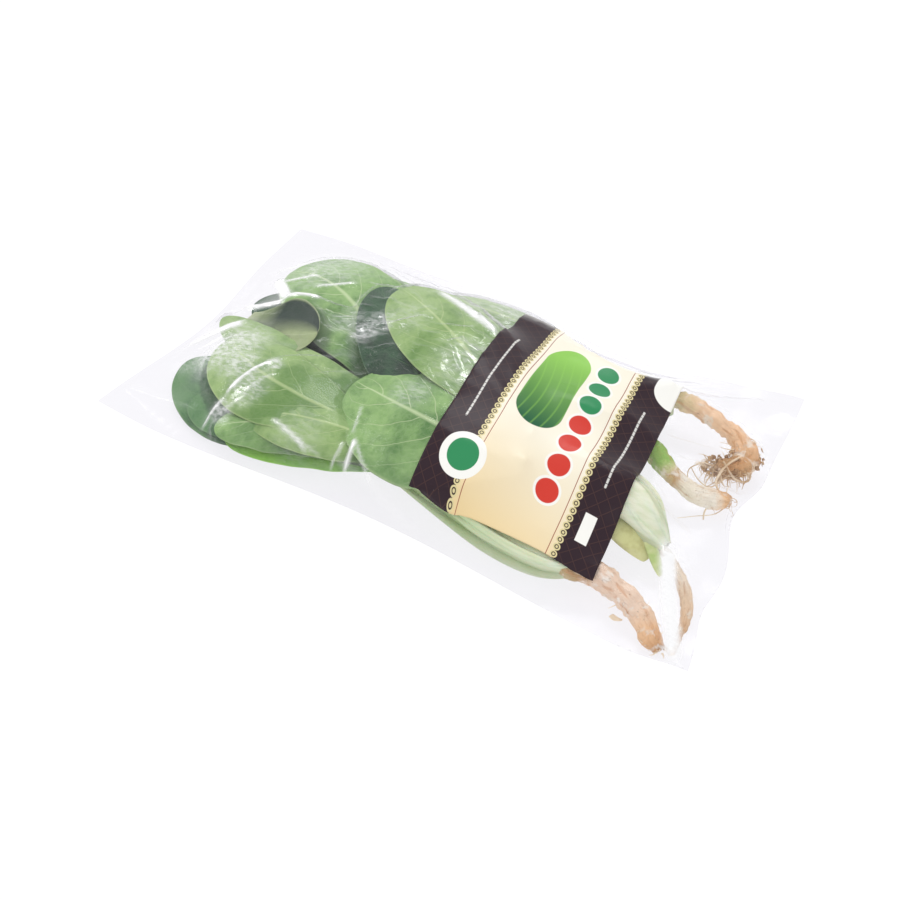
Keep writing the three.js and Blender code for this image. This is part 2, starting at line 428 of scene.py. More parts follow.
def makeTube(name, rings):
    # rings: a centre, two half axes and how far its back is hollowed, joined into a closed tube
    bpy.ops.object.select_all(action="DESELECT")
    sides = stalkShape["sides"]
    bpy.ops.mesh.primitive_cylinder_add(vertices=sides, radius=1, depth=1, end_fill_type="TRIFAN")
    obj = named(name)
    editAll()
    bm = bmesh.from_edit_mesh(obj.data)
    long = [e for e in bm.edges if abs(e.verts[0].co.z - e.verts[1].co.z) > 0.5]
    bmesh.ops.subdivide_edges(bm, edges=long, cuts=len(rings) - 2)
    bmesh.update_edit_mesh(obj.data)
    bpy.ops.object.mode_set(mode="OBJECT")
    points = meshPoints(obj)
    k = np.rint((points[:, 2] + 0.5) * (len(rings) - 1)).astype(int)
    angle = np.arctan2(points[:, 1], points[:, 0])
    radius = np.hypot(points[:, 0], points[:, 1])
    centre, wide, thin, hollow = (np.array([ring[i] for ring in rings]) for i in range(4))
    u = np.cos(angle) * radius
    v = np.sin(angle) * radius
    v = v + (1 - u ** 2) * -hollow[k] + hollow[k] * 0.5
    setMeshPoints(obj, (centre[k] + wide[k] * u[:, None] + thin[k] * v[:, None]) * mm)
    bpy.ops.object.shade_smooth()
    return obj


def petioleRings(plant, turn, seed, bladeStart):
    rings = []
    count = stalkShape["rings"]
    for i in range(count):
        t = i / (count - 1)
        spot, ahead, right, up = frameAt(plant["middle"], t)
        angle = turn + 0.25 * math.sin(3 * t + seed)
        outward = right * math.cos(angle) + up * math.sin(angle)
        along = np.cross(outward, ahead)
        close = smoothStep(1.02, 0.8, t)
        out = spot[3] - stalkShape["thick"] * (0.4 + 0.6 * close)
        wide = spot[3] * stalkShape["wide"] * math.sin(math.pi / plant["petioles"]) * 1.15
        wide = leafShape["neck"] + (wide - leafShape["neck"]) * smoothStep(0, 0.35, t)
        centre = spot[:3] + outward * out * (0.9 + 0.1 * math.sin(seed * 3.1 + 5 * t))
        if bladeStart is not None:  # the stalk's own end leads to its blade
            lead = smoothStep(0.32, 0.0, t)
            centre = centre * (1 - lead) + np.array(bladeStart, float) * lead
        thick = stalkShape["thick"] * (0.55 + 0.45 * close) * (0.4 + 0.6 * smoothStep(0, 0.3, t))
        rings.append((centre, along * wide, outward * thick, stalkShape["hollow"]))
    return rings


def makeStalks():
    made = {}
    for number, plant in plants.items():
        middle = plant["middle"]
        starts = [leaf["start"] for leaf in leaves.values() if leaf["plant"] == number]
        parts = []
        for k in range(plant["petioles"]):
            turn = plant["turn"] + 2 * math.pi * k / plant["petioles"]
            start = None
            if starts:  # the blade that lies nearest to this side of the bundle
                start = max(starts, key=lambda s: (math.cos(turn) * (middle[0][1] - s[1])
                                                   + math.sin(turn) * s[2]))
                starts.remove(start)
            parts.append(makeTube("petiole", petioleRings(plant, turn, number * 7 + k, start)))
        rings = []
        for i in range(24):
            spot = routeAt(middle, i / 23)
            size = spot[3] * 0.72
            rings.append((spot[:3], np.array((0, size, 0)), np.array((0, 0, size)), 0.0))
        parts.append(makeTube("core", rings))
        made[number] = joinAll(parts, "stalks%d" % number)
    return made


stalks = makeStalks()
print("scene: stalks", len(stalks))


# Each root: its line as x, y, z and radius, how lumpy, and which part of it the hairs grow on.
roots = {
    "rootBark": dict(line=[(116, 48, 20, 8), (129, 53, 19, 6.5), (146, 51, 17, 6), (162, 48, 14, 5.5),
                           (173, 43, 11, 6.5), (179, 36, 9, 7.5), (177, 28, 8, 7.5), (170, 23, 7, 6.5),
                           (163, 22, 6, 4.5)],
                     lump=2.0, fine=1.3, seed=1, hairs=240, hairFrom=0.48, hairLong=14, look="bark"),
    "rootNeck": dict(line=[(118, 9, 20, 7), (132, 5, 19, 7), (142, -2, 17, 5.8), (152, -6, 15, 5.4),
                           (163, -7, 12, 6.6), (173, -4, 10, 6.4), (180, 2, 8, 4)],
                     lump=1.0, fine=0.6, seed=2, hairs=16, hairFrom=0.75, hairLong=12, look="neck"),
    "rootThin": dict(line=[(150, -48, 13, 4), (160, -52, 11, 3), (169, -57, 8, 3), (177, -65, 6, 3.6),
                           (182, -74, 5.5, 3.4), (184.5, -84, 5, 2.8), (185, -94, 4, 1.6),
                           (186, -104, 3, 0.8)],
                     lump=0.8, fine=0.5, seed=3, hairs=18, hairFrom=0.5, hairLong=7, look="thin"),
    "rootBrown": dict(line=[(108, -86, 12, 6), (122, -85, 12, 8.6), (136, -84, 12, 7.8), (148, -87, 11, 7),
                            (159, -91, 10, 6.6), (168, -97, 8, 6.4), (175, -103, 6, 5), (180, -106, 5, 3)],
                      lump=1.8, fine=1.0, seed=4, hairs=46, hairFrom=0.4, hairLong=8, look="brown"),
}
# The bark root's single long strands, as points and a radius.
roots["rootBark"]["strands"] = [
    ([(176, 30, 14), (171, 20, 15), (169, 8, 12), (174, 0, 9), (170, -8, 4), (171, -14, 2)], 0.8),
    ([(168, 24, 12), (178, 17, 9), (185, 24, 5), (181, 34, 9), (176, 38, 14)], 0.7),
    ([(176, 22, 11), (168, 10, 4), (160, 12, 2), (152, 20, 2)], 0.5),
    ([(160, 22, 10), (152, 16, 5), (154, 8, 2)], 0.45),
    ([(181, 0, 9), (176, -10, 6), (166, -14, 2), (158, -20, 2)], 0.35),
]

rootShape = {"rings": 64, "roundFrom": 0.93, "roundOver": 0.07, "flat": 0.9, "lowest": 0.9}


def makeRoot(name, root):
    rings = []
    count = rootShape["rings"]
    for i in range(count):
        t = i / (count - 1)
        spot, _, right, up = frameAt(root["line"], t)
        past = max(t - rootShape["roundFrom"], 0) / rootShape["roundOver"]  # the end is rounded
        size = spot[3] * math.sqrt(max(1 - past ** 2, 0.02))
        rings.append((spot[:3], right * size, up * size * rootShape["flat"], 0.0))
    obj = makeTube(name, rings)
    addModifier(obj, "SUBSURF", levels=1, render_levels=1)
    points = meshPoints(obj)
    normals = np.array([v.normal[:] for v in obj.data.vertices])
    out = root["lump"] * rollingNoise(points, 9, root["seed"])
    out = out + root["fine"] * rollingNoise(points, 2.6, root["seed"] + 9)
    out = out + root["fine"] * 0.8 * np.abs(rollingNoise(points, 4.5, root["seed"] + 20))
    points = points + normals * out[:, None] * mm
    points[:, 2] = np.maximum(points[:, 2], rootShape["lowest"] * mm)
    setMeshPoints(obj, points)
    return obj


def growHairs(name, root):
    # thin roots that leave the thick one, droop and curl
    draw = np.random.default_rng(root["seed"] + 5)
    bpy.ops.object.select_all(action="DESELECT")
    bpy.ops.curve.primitive_nurbs_path_add()
    hair = named(name)
    hair.data.splines.clear()
    for _ in range(root["hairs"]):
        t = root["hairFrom"] + (1 - root["hairFrom"]) * draw.random() ** 0.8
        spot = routeAt(root["line"], t)
        angle = draw.uniform(0, 2 * math.pi)
        way = np.array([math.cos(angle), math.sin(angle), draw.uniform(-0.5, 0.5)])
        place = spot[:3] + way * spot[3] * 0.7
        steps = 9
        line = hair.data.splines.new("POLY")
        line.points.add(steps - 1)
        thick = draw.uniform(0.22, 0.5) * (1.6 if draw.random() < 0.12 else 1)
        reach = root["hairLong"] * draw.uniform(0.3, 1.0)
        curl = draw.normal(0, 0.35, 2)
        for i in range(steps):
            line.points[i].co = (*(place * mm), 1)
            line.points[i].radius = thick * (1 - 0.75 * i / (steps - 1))
            turn = curl[0] + draw.normal(0, 0.12)
            way = np.array([way[0] * math.cos(turn) - way[1] * math.sin(turn),
                            way[0] * math.sin(turn) + way[1] * math.cos(turn),
                            way[2] + curl[1] * 0.3 - 0.06])
            way = way / np.linalg.norm(way)
            place = place + way * reach / steps
            place[2] = max(place[2], 1.2)
            place[0] = min(place[0], 184 + draw.uniform(0, 2))
    for line, thick in root.get("strands", []):
        spline = hair.data.splines.new("POLY")
        spline.points.add(4 * len(line) - 1)
        for i, point in enumerate(spline.points):
            t = i / (len(spline.points) - 1)
            point.co = (*(routeAt(line, t) * mm), 1)
            point.radius = thick * (1 - 0.5 * t)
    hair.data.dimensions = "3D"
    hair.data.bevel_depth = mm
    hair.data.bevel_resolution = 1
    hair.data.use_fill_caps = True
    take(hair)
    bpy.ops.object.convert(target="MESH")
    settle(hair)
    return hair


soilShape = {"crumbs": 75, "from": 0.60, "radius": (0.5, 1.5), "rough": 0.9, "grain": 0.9}


def scatterSoil():
    # crumbs of earth in the thickest tangle of hairs
    draw = np.random.default_rng(31)
    crumbs = []
    for _ in range(soilShape["crumbs"]):
        t = draw.uniform(soilShape["from"], 1.0)
        spot = routeAt(roots["rootBark"]["line"], t)
        angle = draw.uniform(0, 2 * math.pi)
        way = np.array([math.cos(angle), math.sin(angle), draw.uniform(-0.2, 0.9)])
        place = spot[:3] + way * spot[3] * draw.uniform(0.8, 1.25)
        place[2] = max(place[2], 2.2)
        bpy.ops.object.select_all(action="DESELECT")
        bpy.ops.mesh.primitive_ico_sphere_add(
            subdivisions=2, radius=draw.uniform(*soilShape["radius"]) * mm, location=place * mm)
        crumbs.append(bpy.context.object)
    soil = joinAll(crumbs, "soil")
    settle(soil)
    points = meshPoints(soil)
    normals = np.array([v.normal[:] for v in soil.data.vertices])
    rough = soilShape["rough"] * rollingNoise(points, soilShape["grain"], 3)
    setMeshPoints(soil, points + normals * rough[:, None] * mm)
    return soil


# Two torn petiole stubs by the pale bulb, and a loose flake: the line and the size of each.
scrapShapes = {
    "stub": ([(146, -47, 17), (153, -54, 14), (160, -61, 10), (164, -64, 6)], 3.6),
    "stubShort": ([(127, -52, 20), (136, -57, 19), (146, -59, 14), (154, -60, 9)], 7.0),
    "flake": ([(150, -97, 2.2), (153, -98, 2.4), (156, -97, 2.0)], 1.6),
}


def makeScraps():
    stub = []
    for name, (line, size) in scrapShapes.items():
        rings = []
        for i in range(16):
            t = i / 15
            width = size * (0.35 + 0.9 * math.sin(math.pi * (0.25 + 0.7 * t)))
            rings.append((routeAt(line, t), np.array([0.5, 0.85, 0.1]) * width * 0.8,
                          np.array([0, 0.1, 1]) * width * 0.32, 0.5))
        stub.append(makeTube(name, rings))
    return stub


rootParts = {}
for name, root in roots.items():
    rootParts[name] = makeRoot(name, root)
    rootParts[name + "Hairs"] = growHairs(name + "Hairs", root)
soil = scatterSoil()
scraps = makeScraps()
print("scene: roots", len(rootParts))


bag = {
    "half": (195.5, 107.5),
    "cells": (264, 148),
    "stages": [(4, 260), (2, 120), (1, 60)],  # coarseness and rounds of the first, soft drape
    "gap": 0.6,  # between the film and what is in it
    "slack": (1.004, 1.012),  # spare length along and across
    "folding": [(2, 140), (1, 110)],  # the same for the wrinkles
    "rest": 0.35,  # the underside's height over the table
    "stir": 0.25,  # the uneven start that the wrinkles grow from
    "sag": 0.012,  # how far the film sinks in each round
}
# Folds in the film over the plants: from x, y to x, y, how high, how wide, how white with a painted
# highlight along the fold.
creases = [
    (-113, -104, -106, -85, 1.2, 1.6, 1.0),
    (-106, -86, -95, -50, 1.6, 1.8, 1.2),
    (-86, -58, -94, -79, 0.7, 1.8, 0.4),
    (-93, -77, -106, -97, 0.5, 2.4, 0.35),
    (-174, -49, -142, -18, 2.0, 4.2, 1.4),
    (-160, -4, -124, 3, 2.0, 4.4, 1.4),
    (-131, 2, -102, 13, 2.2, 3.4, 1.4),
    (-162, 34, -124, 6, 2.2, 5.2, 1.4),
    (-168, 42, -147, 62, 1.2, 3.2, 1.1),
    (-152, 32, -124, 39, 1.4, 1.9, 1.1),
    (-122, 27, -94, 41, 1.2, 1.8, 1.1),
    (-39, 52, 24, 20, 1.6, 3.4, 1.2),
    (-17, -78, -26, -60, 1.0, 1.5, 0.7),
    (-18, -79, -13, -96, 1.5, 2.2, 1.2),
    (-16, -80, 8, -98, 1.0, 1.6, 0.7),
    (-24, -82, -22, -97, 0.9, 1.6, 0.7),
    (-70, -86, -38, -98, 1.2, 1.9, 0.9),
    (-64, -90, -28, -97, 0.8, 1.5, 0.5),
    (-30, -92, 44, -103, 1.6, 1.8, 0.3),
    (161, -48, 189, -116, 3.5, 6.5, 1.25),
    (130, 52, 174, 90, 1.6, 2.4, 0.4),
    (-197, -88, -123, -95, 1.2, 2.2, 0.2),
    (60, -96, 120, -104, 1.2, 2.0, 0.2),
]
# Where the film clings or fogs, and where painted glints and painted reflection whiten it: x, y, radius, how
# white.
hazeAndGlints = [
    (-128, 56, 34, 0.22), (-134, -46, 27, 0.42), (-92, -54, 7, 0.45), (-96, -74, 15, 0.30),
    (-104, -92, 9, 0.30), (-38, 16, 18, 0.14), (20, -8, 26, 0.24), (-52, 6, 13, 0.28),
    (-76, 2, 13, 0.22), (-58, -5, 11, 0.40), (-2, -42, 14, 0.18), (4, 52, 26, 0.28),
    (-160, -60, 12, 0.16), (-50, -86, 18, 0.10), (-114, -60, 15, 0.40), (170, -60, 12, 0.15),
]
# The square grid that holds heights over the table: its first corner, its step, its size.
terrain = {"x": -201.0, "y": -117.0, "step": 1.5, "size": (269, 157)}


# The near edge bows in and out, and the far one dips in beside the label.
def nearEdge(x):
    return -bag["half"][1] - 4 * np.cos(2 * np.pi * (x - 170) / 322)


def farEdge(x):
    return bag["half"][1] + 4 * bump(x, -150, 45) - 15 * bump(x, 85, 60)


def flatPlace(u, v):  # where a point of the flat bag lies on the table
    first = -bag["half"][0] + 12 * bump(v, 0.45, 0.27)
    last = bag["half"][0] - 5 * bump(v, 0.17, 0.1) - 10 * bump(v, 0.47, 0.12) - 2 * bump(v, 0.72, 0.1)
    x = first + (last - first) * u
    return x, nearEdge(x) + (farEdge(x) - nearEdge(x)) * v


def underside(x, y):  # the two ends of the flat film curl up a little
    leafCurl = 2 * smoothStep(145, bag["half"][0], -x) * (0.5 + 0.5 * np.sin(2 * np.pi * y / 150 + 0.9))
    rootCurl = 7 * smoothStep(158, bag["half"][0], x) * (0.5 + 0.5 * np.sin(2 * np.pi * y / 92 + 2.2))
    return leafCurl + rootCurl


def mapIndex(x, y):  # the grid's cells that places lie in
    i = np.rint((x - terrain["x"]) / terrain["step"]).astype(int)
    j = np.rint((y - terrain["y"]) / terrain["step"]).astype(int)
    return np.clip(i, 0, terrain["size"][0] - 1), np.clip(j, 0, terrain["size"][1] - 1)


def widened(heights, shifts):
    grown = heights.copy()
    for shift in shifts:
        grown = np.maximum(grown, np.roll(heights, shift, (0, 1)))
    return grown


def neighbourMean(z):  # over the four cells round each inner one
    return (z[:-2, 1:-1] + z[2:, 1:-1] + z[1:-1, :-2] + z[1:-1, 2:]) / 4


def gridShares(cells):  # how far along and across each point of a grid is, from 0 to 1
    return np.meshgrid(np.linspace(0, 1, cells[0] + 1), np.linspace(0, 1, cells[1] + 1), indexing="ij")


def surfaceMap(objects):
    # the top of everything in the bag
    heights = np.zeros(terrain["size"])
    for obj in objects:
        obj.data.calc_loop_triangles()
        corners = np.empty(len(obj.data.loop_triangles) * 3, dtype=np.int64)
        obj.data.loop_triangles.foreach_get("vertices", corners)
        a, b, c = (meshPoints(obj)[corners.reshape(-1, 3)[:, k]] / mm for k in range(3))
        for spot in (a, b, c, (a + b) / 2, (b + c) / 2, (c + a) / 2, (a + b + c) / 3):
            np.maximum.at(heights, mapIndex(spot[:, 0], spot[:, 1]), spot[:, 2])
    return widened(heights, [(di, dj) for di in (-1, 0, 1) for dj in (-1, 0, 1)])


def readMap(heights, x, y):
    fx = np.clip((x - terrain["x"]) / terrain["step"], 0, terrain["size"][0] - 1.001)
    fy = np.clip((y - terrain["y"]) / terrain["step"], 0, terrain["size"][1] - 1.001)
    i, j = fx.astype(int), fy.astype(int)
    fx, fy = fx - i, fy - j
    return ((heights[i, j] * (1 - fx) + heights[i + 1, j] * fx) * (1 - fy)
            + (heights[i, j + 1] * (1 - fx) + heights[i + 1, j + 1] * fx) * fy)


def shadeByDepth(objects, heights):
    # how deep a spot lies below what is close by, for the painted shade in the gaps between the leaves
    for _ in range(3):
        heights = widened(heights, ((-1, 0), (1, 0), (0, -1), (0, 1)))
    for obj in objects:
        points = meshPoints(obj) / mm
        below = readMap(heights, points[:, 0], points[:, 1]) - points[:, 2]
        setLayer(obj, "depth", smoothStep(2.0, 12.0, below))


def finer(points, cells):  # the same surface on a grid with more cells
    nu, nv = points.shape[0] - 1, points.shape[1] - 1
    u, v = np.linspace(0, nu, cells[0] + 1), np.linspace(0, nv, cells[1] + 1)
    i = np.minimum(u.astype(int), nu - 1)
    j = np.minimum(v.astype(int), nv - 1)
    fu = (u - i)[:, None, None]
    fv = (v - j)[None, :, None]
    rows = points[i] * (1 - fu) + points[i + 1] * fu
    return rows[:, j] * (1 - fv) + rows[:, j + 1] * fv


def borderPoints(cells):
    u, v = gridShares(cells)
    x, y = flatPlace(u, v)
    return np.stack([x, y, underside(x, y) + bag["rest"] + 0.5], axis=-1)


def softDrape(heights):
    # a stretched skin over the contents, coarse first
    points = None
    for coarse, rounds in bag["stages"]:
        cells = (bag["cells"][0] // coarse, bag["cells"][1] // coarse)
        flat = borderPoints(cells)
        least = flat[..., 2].copy()
        over = readMap(heights, flat[..., 0], flat[..., 1]) + bag["gap"]
        least[inner] = np.maximum(least + 0.3, over)[inner]
        z = least.copy() if points is None else np.maximum(finer(points, cells)[..., 2], least)
        for _ in range(rounds):
            z[inner] = np.maximum(least[inner], neighbourMean(z))
        points = flat
        points[..., 2] = z
    return points


def pull(points, free, di, dj, rest, stiff, push):
    # brings the grid's links of one kind towards their own length, in turns so that none share a point
    nu, nv = points.shape[:2]
    step = 2 * max(di, abs(dj))
    for start in range(step):
        if di:
            rowsA, rowsB = slice(start, nu - di, step), slice(start + di, nu, step)
            colsA = slice(max(-dj, 0), nv - max(dj, 0))
            colsB = slice(max(dj, 0), nv - max(-dj, 0))
        else:
            rowsA = rowsB = slice(0, nu)
            colsA, colsB = slice(start, nv - dj, step), slice(start + dj, nv, step)
        a, b = points[rowsA, colsA], points[rowsB, colsB]
        wa, wb = free[rowsA, colsA], free[rowsB, colsB]
        want = rest[rowsA, colsA]
        way = b - a
        length = np.sqrt((way ** 2).sum(-1)) + 1e-9
        error = length - want
        share = np.where(error > 0, stiff, push) * error / length / np.maximum(wa + wb, 1e-6)
        a += way * (share * wa)[..., None]
        b -= way * (share * wb)[..., None]


def foldFilm(points, heights, stiffMask):
    # the film keeps its own length and width, so what it has too much of goes into wrinkles
    draw = np.random.default_rng(12)
    fine = points
    for coarse, rounds in bag["folding"]:
        cells = (bag["cells"][0] // coarse, bag["cells"][1] // coarse)
        if points.shape[0] < cells[0] + 1:
            points = finer(points, cells)
        else:
            points = points[::coarse, ::coarse].copy()
        along = np.sqrt((np.diff(fine[::coarse, ::coarse], axis=0) ** 2).sum(-1))
        aside = np.sqrt((np.diff(fine[::coarse, ::coarse], axis=1) ** 2).sum(-1))
        free = np.ones((cells[0] + 1, cells[1] + 1))
        alongRest = free * smoothRow(along.mean(0)) * bag["slack"][0]
        asideRest = free * smoothRow(aside.mean(1))[:, None] * bag["slack"][1]
        skew = np.hypot(alongRest, asideRest)
        free[0] = free[-1] = free[:, 0] = free[:, -1] = 0
        links = [(1, 0, alongRest, 1.0, 0.8), (0, 1, asideRest, 1.0, 0.8), (1, 1, skew, 0.5, 0.2),
                 (1, -1, skew, 0.5, 0.2), (2, 0, alongRest * 2, 0.2, 0.22), (0, 2, asideRest * 2, 0.2, 0.22)]
        points[1:-1, 1:-1, 2] += draw.normal(0, bag["stir"] * coarse, (cells[0] - 1, cells[1] - 1))
        stiff = finer(stiffMask[..., None], cells)[..., 0]
        for _ in range(rounds):
            points[1:-1, 1:-1, 2] -= bag["sag"] * coarse
            for link in links:
                pull(points, free, *link)
            z = points[..., 2]
            z[inner] += (neighbourMean(z) - z[inner]) * (0.02 + 0.9 * stiff[inner])
            x, y = points[..., 0], points[..., 1]
            least = np.maximum(underside(x, y) + bag["rest"] + 0.6, readMap(heights, x, y) + bag["gap"])
            z[inner] = np.maximum(z, least)[inner]
    return points


def smoothRow(values):
    padded = np.concatenate([values[:1].repeat(12), values, values[-1:].repeat(12)])
    weights = np.hanning(25)
    return np.convolve(padded, weights / weights.sum(), mode="valid")


def creaseProfile(x, y, crease):  # 1 on the fold's line, 0 beside it
    x0, y0, x1, y1, _, wide, _ = crease
    long = math.hypot(x1 - x0, y1 - y0)
    t = ((x - x0) * (x1 - x0) + (y - y0) * (y1 - y0)) / long ** 2
    off = ((x - x0) * (y1 - y0) - (y - y0) * (x1 - x0)) / long
    off = off + 1.6 * np.sin(t * 3.1 + x0)  # not quite straight
    ends = smoothStep(-0.02, 0.2, t) * smoothStep(1.02, 0.8, t)
    return ends * np.clip(1.6 - 1.6 * np.abs(off) / wide, 0, 1)


def addCreases(points, heights):
    # the folds stand on the soft drape and hold the film up along their lines
    x = terrain["x"] + terrain["step"] * np.arange(terrain["size"][0])[:, None]
    y = terrain["y"] + terrain["step"] * np.arange(terrain["size"][1])[None, :]
    drape = np.zeros(terrain["size"])
    np.maximum.at(drape, mapIndex(points[..., 0], points[..., 1]), points[..., 2])
    held = heights.copy()
    for crease in creases:
        ridge = crease[4] * creaseProfile(x, y, crease)
        held = np.where(ridge > 0.15, np.maximum(held, drape + ridge - bag["gap"]), held)
    return held


labelShape = {"corners": [(28, -94), (136, -92), (129, 64), (17, 70)], "cells": (110, 156),
              "lift": 0.45, "thick": 0.25, "rounds": 180}


def labelPlace(s, t):
    (x0, y0), (x1, y1), (x2, y2), (x3, y3) = labelShape["corners"]
    x = (x0 * (1 - s) + x1 * s) * (1 - t) + (x3 * (1 - s) + x2 * s) * t
    y = (y0 * (1 - s) + y1 * s) * (1 - t) + (y3 * (1 - s) + y2 * s) * t
    return x, y


def underLabel(points):  # 1 where the film carries the label, for its stiffness
    (x0, y0), (x1, _), (x2, _), (x3, y3) = labelShape["corners"]
    x, y = points[..., 0], points[..., 1]
    t = (y - y0) / (y3 - y0)
    left, right = x0 + (x3 - x0) * t, x1 + (x2 - x1) * t
    inside = smoothStep(-3, 2, x - left) * smoothStep(3, -2, x - right)
    return inside * smoothStep(-3, 2, y - y0) * smoothStep(3, -2, y - y3)


def gridMesh(name, cells, points):
    bpy.ops.object.select_all(action="DESELECT")
    bpy.ops.mesh.primitive_grid_add(x_subdivisions=cells[0], y_subdivisions=cells[1], size=1)
    obj = named(name)
    flat = meshPoints(obj)
    i = np.rint((flat[:, 0] + 0.5) * cells[0]).astype(int)
    j = np.rint((flat[:, 1] + 0.5) * cells[1]).astype(int)
    setMeshPoints(obj, points[i, j] * mm)
    return obj, i, j


def makeFilm(contents):
    heights = surfaceMap(contents)
    drape = softDrape(heights)
    held = addCreases(drape, heights)
    top = foldFilm(drape.copy(), held, underLabel(drape))
    cells = bag["cells"]
    under = borderPoints(cells)
    x, y = under[..., 0], under[..., 1]
    wave = np.array([noise.noise(Vector((px / 23, py / 17, 3.3))) for px, py in zip(x.ravel(), y.ravel())])
    rim = np.minimum.outer(np.arange(cells[0] + 1), np.arange(cells[1] + 1))
    ease = np.minimum(1, np.minimum(rim, rim[::-1, ::-1]) / 6)
    under[..., 2] += ease * (-0.45 + 0.15 * wave.reshape(x.shape))
    upper, i, j = gridMesh("film", cells, top)
    lower, _, _ = gridMesh("filmUnder", cells, under)
    editAll()
    bpy.ops.mesh.flip_normals()
    bpy.ops.object.mode_set(mode="OBJECT")
    x, y, z = (top[..., k] for k in range(3))
    standoff = z - readMap(heights, x, y)
    # painted highlights: white along the folds' lines
    white = np.zeros(z.shape)
    for crease in creases:
        white = np.maximum(white, crease[6] * creaseProfile(x, y, crease))
    fog = np.zeros(z.shape)
    for cx, cy, radius, strength in hazeAndGlints:
        away = np.hypot(x - cx, y - cy)
        fog = np.maximum(fog, strength * smoothStep(1.25, 0.35, away / radius))
    for key, values in (("standoff", standoff), ("crease", white), ("fog", fog)):
        setLayer(upper, key, values[i, j])
        setLayer(lower, key, np.zeros(len(i)))
    film = joinAll([upper, lower], "film")
    bpy.ops.object.shade_smooth()
    editAll()
    bpy.ops.mesh.remove_doubles(threshold=0.02 * mm)
    bpy.ops.mesh.select_all(action="DESELECT")
    bpy.ops.mesh.edges_select_sharp(sharpness=math.radians(70))
    bpy.ops.mesh.mark_sharp()
    bpy.ops.object.mode_set(mode="OBJECT")
    return film, top


def tuckUnder(obj, top):  # keeps thin things below the film
    heights = np.zeros(terrain["size"]) + 99
    np.minimum.at(heights, mapIndex(top[..., 0], top[..., 1]), top[..., 2])
    points = meshPoints(obj)
    roof = np.minimum(readMap(heights, points[:, 0] / mm, points[:, 1] / mm), 60)
    points[:, 2] = np.minimum(points[:, 2], np.maximum(roof - 0.6, 1.0) * mm)
    setMeshPoints(obj, points)


def heightOver(obj, x, y):  # the object's height at the given places
    mesh = obj.data
    tree = BVHTree.FromPolygons([v.co[:] for v in mesh.vertices], [p.vertices[:] for p in mesh.polygons])
    out = np.zeros(x.shape)
    for index in np.ndindex(x.shape):
        hit = tree.ray_cast(Vector((x[index], y[index], 200)) * mm, Vector((0, 0, -1)))
        out[index] = hit[0].z / mm if hit[0] else 0
    return out


def makeLabel(film):
    cells = labelShape["cells"]
    x, y = labelPlace(*gridShares(cells))
    least = heightOver(film, x, y) + labelShape["lift"]
    z = least.copy()
    for _ in range(labelShape["rounds"]):  # the label is stiffer than the film
        z[inner] = np.maximum(neighbourMean(z), least[inner])
    obj, _, _ = gridMesh("label", cells, np.stack([x, y, z], axis=-1))
    addModifier(obj, "SOLIDIFY", thickness=labelShape["thick"] * mm, offset=0)
    bpy.ops.object.shade_smooth()
    return obj


hairs = [rootParts[name + "Hairs"] for name in roots]
contents = list(blades.values()) + list(stalks.values()) + [rootParts[name] for name in roots] + scraps
for obj in contents + hairs + [soil]:
    points = meshPoints(obj)
    points[:, 2] = np.maximum(points[:, 2], 1.2 * mm)
    setMeshPoints(obj, points)
shadeByDepth(list(blades.values()) + list(stalks.values()), surfaceMap(contents))
film, filmTop = makeFilm(contents)
for obj in hairs + [soil]:
    tuckUnder(obj, filmTop)
print("scene: film")
label = makeLabel(film)
print("scene: label")


leafLooks = {  # blade, darker blotches that also give the painted shade towards the stalk end, veins, how strong the veins show, the painted shade in a hollow
    "fresh": ("#8ab069", "#507d3b", "#cfe0ae", 0.7),
    "pale": ("#95b36e", "#638a43", "#cbdba0", 0.55),
    "folded": ("#9ab676", "#5f8546", "#b5cc92", 0.12),
    "mid": ("#5f8858", "#3a6441", "#9ab88a", 0.45),
    "deep": ("#2c5234", "#12291c", "#6f9168", 0.35),
    "dull": ("#9dab7c", "#7b8b62", "#c3cca4", 0.35, "#162d2a"),
    "bright": ("#84bd48", "#62a035", "#a9d070", 0.45),
}
lookKeys = ("blade", "blotch", "vein", "veinShow", "shade")


# painted shade: the colour goes towards the shade colour where a spot lies deep below its neighbours
def paintGapShade(colour, shade):
    return mix(layerOf(colour.tree, "depth") * 0.6, colour, shade)


